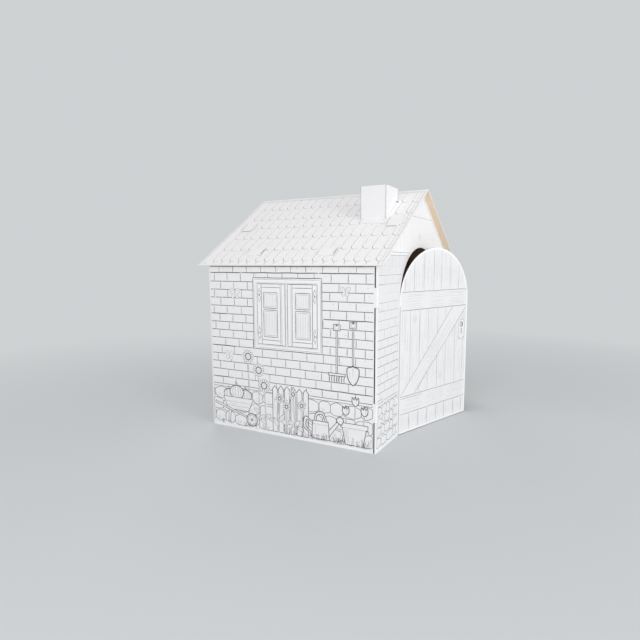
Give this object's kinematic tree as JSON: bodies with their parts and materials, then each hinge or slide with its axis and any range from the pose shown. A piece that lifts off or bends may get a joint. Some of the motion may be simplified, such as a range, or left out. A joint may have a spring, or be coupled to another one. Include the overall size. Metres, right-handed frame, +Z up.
{
  "type": "cardboard playhouse",
  "caption": "White colour-in cardboard playhouse: a small gabled house with an arched door, shuttered side windows, a folded roof with overhangs and a square chimney.",
  "frame": {"origin": "on the floor, under the middle of the bounding box of the whole house with its door standing open as at rest", "axes": "+Z up; -Y out through the door gable; +X to the right seen from in front of the door; the roof ridge runs along Y"},
  "size_m": [1.024, 1.04, 1.0693],
  "materials": {
    "wall_board": "matt white printed liner",
    "shutter_board": "matt white printed liner",
    "gable_board": "matt white printed liner",
    "roof_board": "matt white printed liner",
    "chimney_board": "matt white plain liner",
    "door_board": "matt white printed liner"
  },
  "bodies": {
    "house": {"left_wall": "wall_board", "right_wall": "wall_board", "front_gable": "gable_board", "rear_gable": "gable_board", "roof": "roof_board", "chimney": "chimney_board"},
    "door": {"door": "door_board"},
    "left_wall_front_shutter": {"left_wall_front_shutter": "shutter_board"},
    "left_wall_rear_shutter": {"left_wall_rear_shutter": "shutter_board"},
    "right_wall_front_shutter": {"right_wall_front_shutter": "shutter_board"},
    "right_wall_rear_shutter": {"right_wall_rear_shutter": "shutter_board"}
  },
  "joints": [
    {"name": "door_crease", "type": "hinge", "parent": "house", "child": "door", "pos_m": [-0.26, -0.355, 0.4], "axis": [0, 0, -1], "range_deg": [-18.5, 140]},
    {"name": "left_front_shutter_crease", "type": "hinge", "parent": "house", "child": "left_wall_front_shutter", "pos_m": [-0.5, -0.0977, 0.525], "axis": [0, 0, 1], "range_deg": [0, 170]},
    {"name": "left_rear_shutter_crease", "type": "hinge", "parent": "house", "child": "left_wall_rear_shutter", "pos_m": [-0.5, 0.2077, 0.525], "axis": [0, 0, -1], "range_deg": [0, 170]},
    {"name": "right_front_shutter_crease", "type": "hinge", "parent": "house", "child": "right_wall_front_shutter", "pos_m": [0.5, -0.0977, 0.525], "axis": [0, 0, -1], "range_deg": [0, 170]},
    {"name": "right_rear_shutter_crease", "type": "hinge", "parent": "house", "child": "right_wall_rear_shutter", "pos_m": [0.5, 0.2077, 0.525], "axis": [0, 0, 1], "range_deg": [0, 170]}
  ]
}
